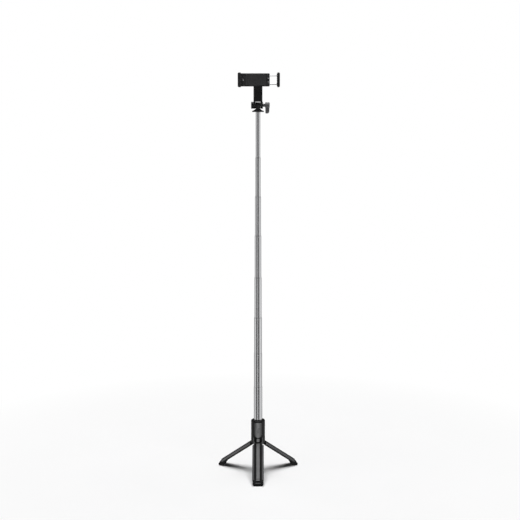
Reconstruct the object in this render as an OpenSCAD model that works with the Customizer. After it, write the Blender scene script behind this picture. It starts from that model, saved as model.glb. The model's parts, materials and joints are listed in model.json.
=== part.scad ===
// Telescopic selfie stick with a fold-out tripod base, a tilting spring clamp
// and a clip-in wireless shutter remote. Millimetres, +Z up, origin on the pole
// axis at floor level, -Y is the side that the phone and the remote face.

/* [Pole] */
// Radius of the lowest moving tube
tube_r1 = 8.85; // [8.7:0.05:8.9]
// Wall thickness of every tube
tube_wall = 0.25; // [0.2:0.01:0.28]
// Length of each moving tube
tube_len = 105; // [100:1:105]
// Running gap at each swaged mouth
mouth_gap = 0.06; // [0.04:0.01:0.1]
// Height of each tube's swaged mouth
mouth_h = 2.4; // [2:0.1:3]

/* [Handle collar] */
// Outer radius of the collar and of the folded legs
collar_r = 14.65; // [14:0.05:15.2]
// Height of the collar's top face above the handle's zero
collar_top = 111; // [109:0.5:113]
// Height of the collar's lower edge
collar_bot = 62; // [62:0.1:62.5]
// Radius of the collar's rounded upper corner
collar_fillet = 2.2; // [1:0.1:3]

/* [Tripod legs] */
// Radius of the circle that the leg hinges sit on
hinge_r = 11.7; // [11.6:0.05:11.8]
// Height of the leg hinges above the handle's own zero
hinge_z = 63; // [62.8:0.1:63.2]
// Height of the handle's own zero above the floor
lift = 2.4; // [1.5:0.1:3]
// Angle of an open leg from the vertical
leg_open = 54.2; // [51:0.1:56]
// Length of a leg's shell from its hinge
leg_len = 104.6; // [101:0.1:107]
// Distance from the pole's axis to the tip of each foot
foot_reach = 93.5; // [91:0.5:95]
// Lean of a foot's end face from the vertical
foot_lean = 14; // [10:0.5:30]
// Half of the angle that one folded leg covers
leg_half = 56; // [50:0.5:57]
// Inner radius of a leg's shell
leg_ri = 9.95; // [9.9:0.05:10.4]
// Width of the grooves beside a leg's centre strip
groove_w = 3.4; // [1.5:0.1:3.6]

/* [Head] */
// Height of the tilt axis
tilt_z = 767.5; // [767:0.5:768]
// Radius of the thrust flange under the head
flange_r = 12; // [11:0.1:12.5]
// Height of the clamp's swivel axis
swivel_z = 817.8; // [817:0.1:820]

/* [Phone clamp] */
// Left face of the phone gap
gap_left = -33.2; // [-35:0.1:-33]
// Right face of the phone gap
gap_right = 37.7; // [36:0.1:38]
// Height of the jaws
jaw_h = 29; // [26:0.5:30]
// Depth of the jaws from the clamp's back face
jaw_depth = 18.4; // [17:0.1:20]

/* [Remote] */
// Width of the remote
remote_w = 17; // [16:0.5:17]
// Lowest point of the remote's rounded tongue
remote_bot = 74.5; // [74.4:0.1:75]
// Height of the remote's top edge
remote_top = 108.6; // [107:0.1:109]
// Radius of the remote's curved face
remote_r = 15.6; // [15.4:0.05:15.8]
// Height of the shutter button's centre
button_z = 91; // [90:0.5:92]

/* [Hidden] */
$fn = 96;

// outer radius of each moving tube, lowest first
tube_r = [for (d = [0, 0.4, 0.85, 1.5, 2.1, 2.75, 3.5, 4.1]) tube_r1 - d];
// height of each tube's top edge with the pole drawn out
tube_top = [182.5, 254.5, 331.3, 415.6, 503.2, 583.6, 663.2, 759.5];
tube_bot = [for (i = [0:7]) i == 7 ? 649 : tube_top[i] - tube_len];
sleeve_ri = tube_r1 + 0.25;
sleeve_ro = sleeve_ri + 0.3;
leg_angles = [270, 150, 30];
swivel_y = -7.6;
jaw_bot = swivel_z - jaw_h / 2;
arm_front = -7;
arm_back = -3.2;
rod_dz = 8.5;
rod_y = -11.6;

// rounded rectangle from its lowest corner, made of squares and circles
module rrect(w, h, r) {
  translate([r, 0]) square([w - 2 * r, h]);
  translate([0, r]) square([w, h - 2 * r]);
  for (x = [r, w - r], y = [r, h - r]) translate([x, y]) circle(r = r, $fn = 48);
}
// upright stadium, w wide and h high, on its centre
module stadium(w, h) {
  square([w, h - w], center = true);
  for (s = [-1, 1]) translate([0, s * (h - w) / 2]) circle(d = w);
}
// cylinder along X between two x values
module xcyl(r, x0, x1, y = 0, z = tilt_z) translate([x0, y, z]) rotate([0, 90, 0]) cylinder(r = r, h = x1 - x0);
// cylinder along Y between two y values
module ycyl(r, y0, y1, x = 0, z = swivel_z) translate([x, y1, z]) rotate([90, 0, 0]) cylinder(r = r, h = y1 - y0);
// extrude an outline drawn in x and z between two y values
module along_y(y0, y1) translate([0, y1, 0]) rotate([90, 0, 0]) linear_extrude(height = y1 - y0) children();

// ---- pole -------------------------------------------------------------
// tube with its mouth swaged in to guide a tube of radius next
module telescopic(r, z0, z1, next) {
  ri = r - tube_wall;
  lip = next + mouth_gap;
  rotate_extrude()
    polygon([[ri, z0], [r, z0], [r, z1 - mouth_h], [lip + tube_wall, z1 - mouth_h + 0.9], [lip + tube_wall, z1],
             [lip, z1], [lip, z1 - mouth_h + 0.9], [ri, z1 - mouth_h]]);
}
module plain_tube(r, z0, z1)
  rotate_extrude() polygon([[r - tube_wall, z0], [r, z0], [r, z1], [r - tube_wall, z1]]);
// springy band round a tube's lower end that drags on the next tube out
module friction_band(i) {
  bore = i == 0 ? sleeve_ri : tube_r[i - 1] - tube_wall;
  z0 = tube_bot[i] + 0.6;
  color([0.72, 0.58, 0.33]) rotate_extrude()
    polygon([[tube_r[i], z0], [bore - 0.05, z0 + 0.8], [bore - 0.05, z0 + 7.2], [tube_r[i], z0 + 8]]);
}
module steel_tube(i) color([0.66, 0.67, 0.69])
  if (i < 7) telescopic(tube_r[i], tube_bot[i], tube_top[i], tube_r[i + 1]);
  else plain_tube(tube_r[i], tube_bot[i], tube_top[i]);
module base_sleeve() color([0.5, 0.51, 0.53]) rotate_extrude() {
  lip = tube_r1 + mouth_gap;
  polygon([[sleeve_ri, 4], [sleeve_ro, 4], [sleeve_ro, collar_top - 0.8], [lip, collar_top - 0.8],
           [lip, collar_top - 2], [sleeve_ri, collar_top - 3]]);
}
module sleeve_end_plug() color([0.08, 0.08, 0.09]) {
  translate([0, 0, 2.8]) cylinder(r = sleeve_ro, h = 1.2);
  translate([0, 0, 4]) difference() { cylinder(r = sleeve_ri, h = 1.8); translate([0, 0, 0.6]) cylinder(r = 6.6, h = 3); }
}

// ---- collar and hinges -------------------------------------------------
// outline of the remote seen from the front, grown by g
module remote_outline(g = 0) {
  w = remote_w / 2 + g;
  translate([0, remote_bot + remote_w / 2]) circle(r = w);
  translate([-w, remote_bot + remote_w / 2]) square([2 * w, remote_top - remote_bot - remote_w / 2 - 2.5 + g]);
  translate([-w + 2.5 + g, remote_top - 6]) square([2 * w - 5 - 2 * g, 6 + g]);
  for (s = [-1, 1]) translate([s * (remote_w / 2 - 2.5), remote_top - 2.5]) circle(r = 2.5 + g, $fn = 48);
}
// space that a leg's root needs in the collar's lower edge
module leg_scallop() translate([9, 0, 0]) rotate([90, 0, 90]) linear_extrude(height = 8) {
  translate([-8.35, 55]) square([16.7, 9.6]);
  translate([-5.35, 55]) square([10.7, 12.6]);
  for (s = [-1, 1]) translate([s * 5.35, 64.6]) circle(r = 3, $fn = 48);
}
module collar_shell() color([0.07, 0.07, 0.08]) difference() {
  rotate_extrude() difference() {
    union() {
      translate([sleeve_ro, collar_bot]) square([collar_r - sleeve_ro, collar_top - collar_bot - collar_fillet]);
      translate([sleeve_ro, collar_top - collar_fillet - 0.1]) square([collar_r - sleeve_ro - collar_fillet, collar_fillet + 0.1]);
      translate([collar_r - collar_fillet, collar_top - collar_fillet]) circle(r = collar_fillet, $fn = 48);
    }
    // room for the hinge bracket
    translate([0, collar_bot - 1]) square([12.25, 75 - collar_bot]);
    // shallow dark ring round the pole's mouth
    translate([sleeve_ro - 0.1, collar_top - 0.8]) square([1.0, 2]);
  }
  along_y(-20, -9.8) remote_outline(0.15);
  for (a = leg_angles) rotate([0, 0, a]) leg_scallop();
  translate([0, 20, 70.5]) rotate([90, 0, 0]) cylinder(r = 0.85, h = 12);
  translate([0, 15, 70.5]) rotate([90, 0, 0]) cylinder(r = 1.7, h = 1.2);
}
module collar_screw() color([0.55, 0.55, 0.57]) difference() {
  union() {
    translate([0, 13.8, 70.5]) rotate([90, 0, 0]) cylinder(r = 0.8, h = 4);
    translate([0, 14.5, 70.5]) rotate([90, 0, 0]) cylinder(r = 1.55, h = 0.7);
  }
  for (a = [0, 90]) translate([0, 14.6, 70.5]) rotate([0, a, 0]) cube([1.7, 0.8, 0.35], center = true);
}
// one pair of hinge ears, pointing along +X
module hinge_ears() difference() {
  for (s = [-1, 1]) translate([0, s * 5.7 + 1.6, 0]) rotate([90, 0, 0]) linear_extrude(height = 3.2) {
    polygon([[8.4, 72], [12.1, 72], [12.1, 67], [14.3, 65.3], [hinge_r + 2.6, hinge_z], [8.9, hinge_z]]);
    translate([hinge_r, hinge_z]) circle(r = 2.65, $fn = 64);
  }
  translate([hinge_r, 12, hinge_z]) rotate([90, 0, 0]) cylinder(r = 1, h = 24);
}
module hinge_bracket() color([0.1, 0.1, 0.11]) difference() {
  union() {
    translate([0, 0, 65.6]) cylinder(r = 12.1, h = 8.4);
    intersection() {
      for (a = leg_angles) rotate([0, 0, a]) hinge_ears();
      union() {
        translate([0, 0, 50]) cylinder(r = 14.3, h = 15.4);
        translate([0, 0, 60]) cylinder(r = 12.1, h = 14);
      }
    }
  }
  translate([0, 0, 50]) cylinder(r = sleeve_ro, h = 40);
  translate([0, 13, 70.5]) rotate([90, 0, 0]) cylinder(r = 0.8, h = 3.4);
}
module leg_hinge_pins() color([0.7, 0.7, 0.72])
  for (a = leg_angles) rotate([0, 0, a]) translate([hinge_r, 6.9, hinge_z]) rotate([90, 0, 0]) cylinder(r = 1, h = 13.8, $fn = 48);

// ---- legs ----------------------------------------------------------------
// put a leg drawn folded along +X at its open place
module open_leg(a) rotate([0, 0, a]) translate([hinge_r, 0, hinge_z]) rotate([0, -leg_open, 0])
  translate([-hinge_r, 0, -hinge_z]) children();
// pie slice of half angle h about +X
module slice(h, r = 30) polygon([[0, 0], [r * cos(h), -r * sin(h)], [r, -r * sin(h)], [r, r * sin(h)], [r * cos(h), r * sin(h)]]);
module leg_section() difference() {
  intersection() { circle(r = collar_r); slice(leg_half); }
  circle(r = leg_ri);
  for (s = [-1, 1]) rotate(s * 22.2) translate([collar_r - 1.3, -groove_w / 2]) square([3, groove_w]);
}
module leg(a) color([0.09, 0.09, 0.1]) open_leg(a) difference() {
  union() {
    translate([0, 0, hinge_z - leg_len + 13]) linear_extrude(height = leg_len - 13 - 3.4) leg_section();
    translate([0, 3.85, 0]) rotate([90, 0, 0]) linear_extrude(height = 7.7) {
      polygon([[leg_ri, hinge_z - 5], [14.4, hinge_z - 5], [14.4, hinge_z - 3.4], [hinge_r + 1.9, hinge_z + 0.9],
               [hinge_r - 1.9, hinge_z + 0.8], [leg_ri, hinge_z - 3.4]]);
      translate([hinge_r, hinge_z]) circle(r = 2.1, $fn = 64);
    }
  }
  translate([hinge_r, 12, hinge_z]) rotate([90, 0, 0]) cylinder(r = 1.04, h = 24);
}
// rubber foot: a thick cap on the leg's end with a leaning end face, cut flat where it stands
module foot(a) color([0.05, 0.05, 0.05]) difference() {
  open_leg(a) {
    translate([0, 0, hinge_z - leg_len - 8]) linear_extrude(height = 21) difference() {
      intersection() { circle(r = collar_r - 0.1); slice(leg_half - 3); }
      circle(r = 1.8);
      for (s = [-1, 1]) rotate(s * 22.2) translate([collar_r - 1.0, -groove_w / 2]) square([3, groove_w]);
    }
    translate([0, 0, hinge_z - leg_len + 2]) linear_extrude(height = 15)
      intersection() { difference() { circle(r = leg_ri - 0.02); circle(r = 5.6); } slice(leg_half - 8); }
  }
  translate([-150, -150, -40 - lift]) cube([300, 300, 40]);
  rotate([0, 0, a]) translate([foot_reach, 0, -lift]) rotate([0, -foot_lean, 0]) translate([0, -30, -20]) cube([40, 60, 60]);
}
// lift a piece from the handle's own zero to its height above the floor
module raised() translate([0, 0, lift]) children();

// ---- head ------------------------------------------------------------------
module head_cap() color([0.06, 0.06, 0.07]) difference() {
  union() {
    rotate_extrude() polygon([[0, 754], [flange_r - 0.5, 754], [flange_r, 754.5], [flange_r, 755.9], [6.4, 758.6], [0, 758.6]]);
    intersection() {
      translate([-6, -6.2, 757]) cube([12, 12.4, 3.1]);
      cylinder(r = 7.8, h = 1000);
    }
    translate([-4.55, -6.2, 757]) cube([9.1, 12.4, tilt_z - 757]);
    xcyl(6.2, -4.55, 4.55);
  }
  xcyl(2.05, -10, 10);
  translate([0, 0, 750]) cylinder(r = tube_r[7], h = 9.5);
}
module tilt_arm() color([0.07, 0.07, 0.08]) difference() {
  union() {
    xcyl(6.9, -13.9, -5);
    xcyl(6.9, 5, 10);
    // plate behind the phone, with its round upper end
    translate([-9, arm_front, tilt_z]) cube([18, arm_back - arm_front, swivel_z - tilt_z]);
    ycyl(9, arm_front, arm_back);
    // stiffening ribs on the back of the plate
    for (s = [-1, 1]) translate([s * 7.2 - 1.1, arm_back - 0.1, tilt_z + 3]) cube([2.2, 1.7, swivel_z - tilt_z - 12]);
    ycyl(5.6, arm_front, -2.4);
  }
  // slot for the head's tongue
  translate([-4.95, -20, tilt_z - 10]) cube([9.9, 40, 16.9]);
  xcyl(2.05, -20, 20);
  translate([-13.95, 0, tilt_z]) rotate([0, 90, 0]) cylinder(r = 4.1, h = 3.2, $fn = 6);
  ycyl(2.05, -10, 0);
}
module tilt_nut() color([0.72, 0.72, 0.74]) difference() {
  translate([-13.6, 0, tilt_z]) rotate([0, 90, 0]) cylinder(r = 4.04, h = 2.85, $fn = 6);
  xcyl(2.03, -20, 0);
}
module tilt_washers() color([0.75, 0.75, 0.76])
  for (x = [-4.95, 4.6]) difference() { xcyl(5.8, x, x + 0.35); xcyl(2.1, x - 1, x + 1); }
module tilt_screw() color([0.7, 0.7, 0.72]) { xcyl(2, -13.4, 18); xcyl(3.4, 18, 20.5); }
module lock_knob() color([0.32, 0.32, 0.33]) difference() {
  union() {
    xcyl(3.25, 10.15, 14.6);
    rotate([0, 0, 90]) rotate([90, 0, 0]) translate([0, tilt_z, 14.6]) rotate_extrude()
      polygon([[0, 0], [5.6, 0], [6, 0.4], [6, 8.1], [5, 9.1], [0, 9.1]]);
    along_y(-2.5, 2.5) {
      polygon([[14.7, tilt_z], [15.1, 751], [20.2, 751], [22.7, 753.5], [23.4, tilt_z]]);
      translate([20.1, 753.6]) circle(r = 2.6, $fn = 48);
    }
  }
  xcyl(2, 5, 18);
  xcyl(3.4, 17.9, 20.5);
}

// ---- phone clamp ----------------------------------------------------------
module swivel_screw() color([0.7, 0.7, 0.72]) difference() {
  union() {
    ycyl(2, -13, -2.3);
    ycyl(3.9, -2.35, -0.6);
  }
  for (a = [0, 90]) translate([0, -0.6, swivel_z]) rotate([0, a, 0]) cube([4, 1.6, 0.8], center = true);
}
module swivel_washer() color([0.75, 0.75, 0.76]) difference() {
  ycyl(6.5, -7.55, -7.05);
  ycyl(2.1, -8, -6);
}
module clamp_housing() color([0.07, 0.07, 0.08]) difference() {
  union() {
    // fixed jaw
    along_y(swivel_y - jaw_depth, swivel_y) translate([gap_left - 7.2, jaw_bot]) rrect(10, jaw_h, 2.2);
    along_y(-13.8, swivel_y) translate([gap_left - 3, jaw_bot + 1.5]) square([23.5 - gap_left + 3, jaw_h - 3]);
  }
  // clear of the phone
  translate([gap_left - 1.2, -40, jaw_bot - 1]) cube([80, 40 - 13.8, jaw_h + 2]);
  // hollow for the springs, less the two bosses
  difference() {
    translate([-32.4, -20, swivel_z - 11.5]) cube([50.4, 10.6, 23]);
    ycyl(5, -13.8, -9);
    ycyl(2.6, -13.8, -9, x = -29.6);
    translate([-32.4, -13.8, swivel_z - 2.6]) cube([2.8, 5, 5.2]);
  }
  ycyl(2, -13.2, 0);
  for (s = [-1, 1]) xcyl(1.29, 16, 30, y = rod_y, z = swivel_z + s * rod_dz);
  ycyl(0.8, -14, -9.6, x = -29.6);
  for (s = [-1, 1]) ycyl(0.8, -14, -9.6, x = 20.8, z = swivel_z + s * 3.6);
}
module clamp_cover() color([0.09, 0.09, 0.1]) difference() {
  along_y(-15.2, -13.8) translate([gap_left - 1.2, jaw_bot + 1.5]) square([23.5 - gap_left + 1.2, jaw_h - 3]);
  ycyl(0.85, -16, -13, x = -29.6);
  ycyl(1.65, -16, -14.5, x = -29.6);
  for (s = [-1, 1]) {
    ycyl(0.85, -16, -13, x = 20.8, z = swivel_z + s * 3.6);
    ycyl(1.65, -16, -14.5, x = 20.8, z = swivel_z + s * 3.6);
  }
}
module cover_screw() difference() {
  union() { ycyl(0.8, -14.5, -10, x = 0, z = 0); ycyl(1.55, -15.15, -14.5, x = 0, z = 0); }
  for (a = [0, 90]) translate([0, -15.2, 0]) rotate([0, a, 0]) cube([1.8, 0.7, 0.4], center = true);
}
module cover_screws() color([0.6, 0.6, 0.62]) {
  translate([-29.6, 0, swivel_z]) cover_screw();
  for (s = [-1, 1]) translate([20.8, 0, swivel_z + s * 3.6]) cover_screw();
}
module back_pad() color([0.13, 0.13, 0.14]) along_y(-16.1, -15.2)
  translate([-25, jaw_bot + 3.5]) rrect(41, jaw_h - 7, 2);
// ribbed rubber facing, x is its gap side and d the way to its jaw
module jaw_pad(x, d) color([0.12, 0.12, 0.13]) difference() {
  translate([min(x, x + 1.2 * d), swivel_y - jaw_depth + 0.6, jaw_bot + 2]) cube([1.2, 9.4, jaw_h - 4]);
  for (k = [0:4]) translate([x - 0.45, swivel_y - jaw_depth, jaw_bot + 5.3 + k * 4.4]) cube([0.9, 12, 1.2]);
}
module sliding_jaw() color([0.07, 0.07, 0.08]) difference() {
  along_y(swivel_y - jaw_depth, swivel_y) difference() {
    translate([gap_right - 5, jaw_bot]) rrect(11.1, jaw_h, 2.2);
    translate([gap_right - 10, jaw_bot - 1]) square([11.2, jaw_h + 2]);
  }
  for (s = [-1, 1]) xcyl(1.25, 30, 42.2, y = rod_y, z = swivel_z + s * rod_dz);
}
module guide_rods() color([0.74, 0.74, 0.76])
  for (s = [-1, 1]) xcyl(1.25, -19, 42.2, y = rod_y, z = swivel_z + s * rod_dz);
module rod_stops() color([0.6, 0.6, 0.62])
  for (s = [-1, 1]) difference() {
    xcyl(2.1, -18.6, -17.4, y = rod_y, z = swivel_z + s * rod_dz);
    xcyl(1.25, -20, -15, y = rod_y, z = swivel_z + s * rod_dz);
  }
// coil spring along X as one swept wire
module coil(x0, x1, r, wire, turns, seg = 12, sides = 4) {
  n = turns * seg;
  pts = [for (i = [0:n]) let (t = 360 * i / seg, x = x0 + wire + (x1 - x0 - 2 * wire) * i / n)
           for (j = [0:sides - 1]) let (q = 360 * j / sides, rr = r + wire * cos(q)) [x + wire * sin(q), rr * cos(t), rr * sin(t)]];
  faces = concat(
    [[for (j = [0:sides - 1]) j]],
    [[for (j = [0:sides - 1]) n * sides + sides - 1 - j]],
    [for (i = [0:n - 1], j = [0:sides - 1], k = [0, 1]) let (a = i * sides + j, b = i * sides + (j + 1) % sides)
      k == 0 ? [a, a + sides, b + sides] : [a, b + sides, b]]);
  polyhedron(points = pts, faces = faces, convexity = 10);
}
module clamp_springs() color([0.68, 0.68, 0.7])
  for (s = [-1, 1]) translate([0, rod_y, swivel_z + s * rod_dz]) coil(-17.3, 17.95, 1.72, 0.24, 11);

// ---- remote ---------------------------------------------------------------
module remote_front_shell() color([0.09, 0.09, 0.1]) difference() {
  intersection() {
    along_y(-16, -10.75) remote_outline();
    cylinder(r = remote_r, h = 200);
  }
  intersection() {
    along_y(-16, -10) remote_outline(-1.1);
    cylinder(r = remote_r - 1.0, h = 200);
  }
  along_y(-20, -12) translate([0, button_z]) stadium(9.3, 12.3);
}
module remote_back_shell() color([0.08, 0.08, 0.09]) {
  along_y(-10.7, -9.95) remote_outline();
  along_y(-11.9, -10.7) difference() { remote_outline(-1.2); remote_outline(-2.0); }
}
module shutter_button() color([0.3, 0.3, 0.31]) {
  intersection() {
    along_y(-16.2, -13.5) translate([0, button_z]) stadium(9, 12);
    cylinder(r = remote_r + 0.35, h = 200);
  }
  intersection() {
    along_y(-16, -13.45) translate([0, button_z]) stadium(10.2, 13.2);
    cylinder(r = remote_r - 1.1, h = 200);
  }
}
module circuit_board() color([0.05, 0.3, 0.15]) {
  translate([-5.9, -12.95, 80]) cube([11.8, 0.55, 26]);
  translate([-2, -13.07, button_z - 2]) cube([4, 0.15, 4]);
}
module coin_cell() color([0.75, 0.75, 0.77]) {
  ycyl(5.0, -12.35, -10.75, x = 0, z = 97);
}

raised() base_sleeve();
raised() sleeve_end_plug();
raised() hinge_bracket();
raised() collar_shell();
raised() leg_hinge_pins();
raised() collar_screw();
raised() leg(leg_angles[0]);  // leg_front
raised() leg(leg_angles[1]);  // leg_left
raised() leg(leg_angles[2]);  // leg_right
raised() foot(leg_angles[0]);  // foot_front
raised() foot(leg_angles[1]);  // foot_left
raised() foot(leg_angles[2]);  // foot_right
raised() steel_tube(0);  // tube_1
raised() steel_tube(1);  // tube_2
raised() steel_tube(2);  // tube_3
raised() steel_tube(3);  // tube_4
raised() steel_tube(4);  // tube_5
raised() steel_tube(5);  // tube_6
raised() steel_tube(6);  // tube_7
raised() steel_tube(7);  // tube_8
raised() friction_band(0);  // friction_sleeve_1
raised() friction_band(1);  // friction_sleeve_2
raised() friction_band(2);  // friction_sleeve_3
raised() friction_band(3);  // friction_sleeve_4
raised() friction_band(4);  // friction_sleeve_5
raised() friction_band(5);  // friction_sleeve_6
raised() friction_band(6);  // friction_sleeve_7
raised() friction_band(7);  // friction_sleeve_8
raised() head_cap();
raised() tilt_arm();
raised() tilt_nut();
raised() tilt_washers();
raised() tilt_screw();
raised() lock_knob();
raised() swivel_screw();
raised() swivel_washer();
raised() clamp_housing();
raised() clamp_cover();
raised() cover_screws();
raised() back_pad();
raised() jaw_pad(gap_left, -1);  // fixed_jaw_pad
raised() sliding_jaw();
raised() jaw_pad(gap_right, 1);  // sliding_jaw_pad
raised() guide_rods();
raised() rod_stops();
raised() clamp_springs();
raised() remote_front_shell();
raised() remote_back_shell();
raised() shutter_button();
raised() circuit_board();
raised() coin_cell();
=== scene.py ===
import bpy, bmesh, json, math
from mathutils import Vector, Matrix, noise


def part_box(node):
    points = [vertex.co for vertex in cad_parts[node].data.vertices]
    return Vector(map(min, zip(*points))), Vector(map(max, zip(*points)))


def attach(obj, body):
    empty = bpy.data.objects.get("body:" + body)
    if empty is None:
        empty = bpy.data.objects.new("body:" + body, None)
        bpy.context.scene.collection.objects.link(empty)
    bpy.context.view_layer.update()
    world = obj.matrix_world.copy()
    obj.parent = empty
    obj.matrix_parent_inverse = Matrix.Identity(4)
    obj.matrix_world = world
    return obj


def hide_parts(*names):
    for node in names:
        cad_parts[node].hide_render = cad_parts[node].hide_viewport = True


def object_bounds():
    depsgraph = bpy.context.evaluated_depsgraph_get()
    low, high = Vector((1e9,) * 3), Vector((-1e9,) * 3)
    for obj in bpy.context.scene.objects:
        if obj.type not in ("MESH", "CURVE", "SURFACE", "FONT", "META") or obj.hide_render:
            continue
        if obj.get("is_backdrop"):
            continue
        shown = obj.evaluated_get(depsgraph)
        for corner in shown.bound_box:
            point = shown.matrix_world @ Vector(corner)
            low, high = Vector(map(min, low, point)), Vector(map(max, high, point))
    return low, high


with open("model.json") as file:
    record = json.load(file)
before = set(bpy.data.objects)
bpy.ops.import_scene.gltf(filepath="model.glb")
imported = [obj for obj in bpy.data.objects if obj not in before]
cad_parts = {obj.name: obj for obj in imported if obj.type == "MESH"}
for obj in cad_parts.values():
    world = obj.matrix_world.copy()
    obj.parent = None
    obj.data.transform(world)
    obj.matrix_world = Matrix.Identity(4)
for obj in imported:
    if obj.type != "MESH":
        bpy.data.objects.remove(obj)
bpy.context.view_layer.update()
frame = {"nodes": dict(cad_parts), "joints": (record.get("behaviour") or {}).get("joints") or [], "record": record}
N = frame["nodes"]
scene = bpy.context.scene
MM = 0.001

# ------------------------------------------------------------------ camera
F_PX, TILT, DIST, CAM_H = 1070.0, math.radians(8.4), 2.186, 0.774
cam_data = bpy.data.cameras.new("camera")
cam_data.sensor_width = 36.0
cam_data.lens = 36.0 * F_PX / 520.0
cam_data.clip_start, cam_data.clip_end = 0.05, 60.0
cam = bpy.data.objects.new("camera", cam_data)
scene.collection.objects.link(cam)
cam.location = (0.0041, -DIST, CAM_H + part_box("collar_shell")[1].z - 0.111)
cam.rotation_euler = (math.pi / 2 - TILT, 0.0, 0.0)
scene.camera = cam

# ------------------------------------------------------------------ lights
scene.view_settings.view_transform = "Standard"
scene.view_settings.look = "None"

def area(name, loc, target, w, h, watts, color=(1, 1, 1)):
    d = bpy.data.lights.new(name, "AREA")
    d.shape, d.size, d.size_y, d.energy, d.color = "RECTANGLE", w, h, watts, color
    o = bpy.data.objects.new(name, d)
    scene.collection.objects.link(o)
    o.location = loc
    o.rotation_euler = (Vector(target) - Vector(loc)).to_track_quat("-Z", "Y").to_euler()
    return o

area("overhead", (0.0, 0.02, 2.9), (0, 0.02, 0), 2.0, 2.0, 96)

# the studio round the object: white behind it, an even fill, and pale and grey walls with a low card that only gloss picks up
AMBIENT, CARD = 0.04, 2.0
world = bpy.data.worlds.new("studio")
scene.world = world
world.use_nodes = True
wt = world.node_tree
wt.nodes.clear()

def wnode(kind, *ins, **kw):
    n = wt.nodes.new(kind)
    for k, v in kw.items():
        setattr(n, k, v)
    for i, v in enumerate(ins):
        if v is None:
            continue
        if hasattr(v, "links"):
            wt.links.new(v, n.inputs[i])
        else:
            n.inputs[i].default_value = v
    return n

w_dir = wnode("ShaderNodeTexCoord").outputs["Generated"]
w_xyz = wnode("ShaderNodeSeparateXYZ", w_dir)
w_ny = wnode("ShaderNodeMath", w_xyz.outputs[1], -1.0, operation="MULTIPLY").outputs[0]
w_az = wnode("ShaderNodeMath", w_xyz.outputs[0], w_ny, operation="ARCTAN2").outputs[0]
w_u = wnode("ShaderNodeMapRange", w_az, -math.pi, math.pi, 0.0, 1.0).outputs[0]
w_ramp = wt.nodes.new("ShaderNodeValToRGB")
WALLS = [(-180, 0.25), (-140, 0.32), (-122, 0.60), (-92, 1.10), (-74, 1.10), (-58, 0.34), (-46, 0.05), (-34, 0.10), (-24, 0.55), (-14, 1.00), (-4, 0.45),
         (6, 0.05), (18, 0.04), (29, 0.30), (43, 0.86), (57, 0.66), (72, 1.15), (90, 1.45), (106, 0.85), (124, 0.55), (140, 0.32), (180, 0.25)]
while len(w_ramp.color_ramp.elements) < len(WALLS):
    w_ramp.color_ramp.elements.new(0.5)
for e, (deg, v) in zip(w_ramp.color_ramp.elements, WALLS):
    e.position = deg / 360.0 + 0.5
    e.color = (v, v, v, 1)
wt.links.new(w_u, w_ramp.inputs[0])
w_up = wnode("ShaderNodeMapRange", w_xyz.outputs[2], 0.10, 0.55, 1.0, 0.15).outputs[0]
w_low = wnode("ShaderNodeMapRange", w_xyz.outputs[2], -0.36, -0.46, 0.0, 1.0).outputs[0]
w_off = wnode("ShaderNodeMath", wnode("ShaderNodeMath", w_az, -0.06, operation="ADD").outputs[0], operation="ABSOLUTE").outputs[0]
w_mid = wnode("ShaderNodeMapRange", w_off, 0.20, 0.65, CARD, 0.0).outputs[0]
w_deep = wnode("ShaderNodeMapRange", w_xyz.outputs[2], -0.48, -0.62, 1.0, 0.0).outputs[0]
w_band = wnode("ShaderNodeMath", w_low, w_deep, operation="MULTIPLY").outputs[0]
w_card = wnode("ShaderNodeMath", w_band, w_mid, operation="MULTIPLY").outputs[0]
w_level = wnode("ShaderNodeMath", wnode("ShaderNodeMath", w_ramp.outputs[0], w_up, operation="MULTIPLY").outputs[0], w_card, operation="ADD").outputs[0]
w_wall = wnode("ShaderNodeBackground", (1, 1, 1, 1), w_level).outputs[0]
w_soft = wnode("ShaderNodeBackground", (1, 1, 1, 1), AMBIENT).outputs[0]
w_white = wnode("ShaderNodeBackground", (1, 1, 1, 1), 1.0).outputs[0]
w_path = wnode("ShaderNodeLightPath")
w_seen = wnode("ShaderNodeMixShader", w_path.outputs["Is Glossy Ray"], w_soft, w_wall).outputs[0]
w_mix = wnode("ShaderNodeMixShader", w_path.outputs["Is Camera Ray"], w_seen, w_white).outputs[0]
wnode("ShaderNodeOutputWorld", w_mix)

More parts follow.
